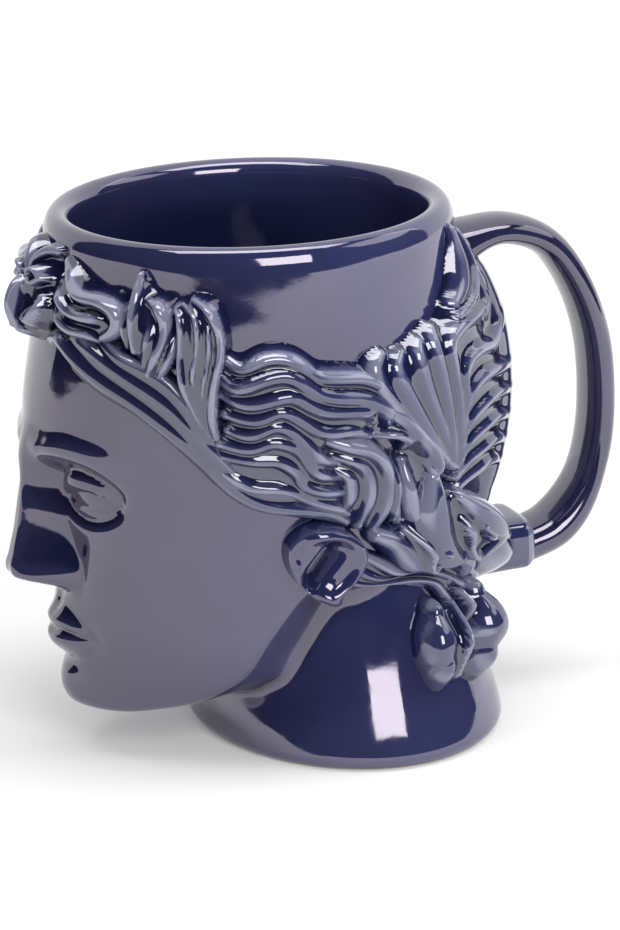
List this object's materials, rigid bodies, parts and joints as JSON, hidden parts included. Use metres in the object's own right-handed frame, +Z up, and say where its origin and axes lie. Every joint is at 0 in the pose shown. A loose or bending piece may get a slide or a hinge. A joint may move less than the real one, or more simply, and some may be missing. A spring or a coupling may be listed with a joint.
{
  "type": "coffee mug",
  "caption": "Glazed ceramic coffee mug cast as a classical head: a round cup with wavy hair in relief, a calm face, a flared neck for a foot and a strap handle at the nape.",
  "frame": {"origin": "on the cup's axis, on the plane that the foot stands on", "axes": "+Z up, -X the way the face looks, +X towards the handle, -Y the left side of the head"},
  "size_m": [0.1282, 0.0874, 0.1069],
  "materials": {
    "body_glaze": "glossy navy glaze",
    "handle_glaze": "glossy navy glaze",
    "hair_glaze": "glossy navy glaze, thin on the crests and pooled in the partings"
  },
  "bodies": {
    "root": {"head_casting": "body_glaze", "handle": "handle_glaze", "crown_fan": "hair_glaze", "nape_knot": "hair_glaze", "left_ear": "body_glaze", "right_ear": "body_glaze", "left_parting_lock": "hair_glaze", "right_parting_lock": "hair_glaze", "left_forelock": "hair_glaze", "right_forelock": "hair_glaze", "left_bow_lock": "hair_glaze", "right_bow_lock": "hair_glaze", "left_hairline_lock": "hair_glaze", "right_hairline_lock": "hair_glaze", "left_temple_wave": "hair_glaze", "right_temple_wave": "hair_glaze", "left_swept_lock": "hair_glaze", "right_swept_lock": "hair_glaze", "left_curled_lock": "hair_glaze", "right_curled_lock": "hair_glaze", "left_nape_roll": "hair_glaze", "right_nape_roll": "hair_glaze", "left_side_drop": "hair_glaze", "right_side_drop": "hair_glaze", "left_back_drop": "hair_glaze", "right_back_drop": "hair_glaze"}
  },
  "joints": []
}
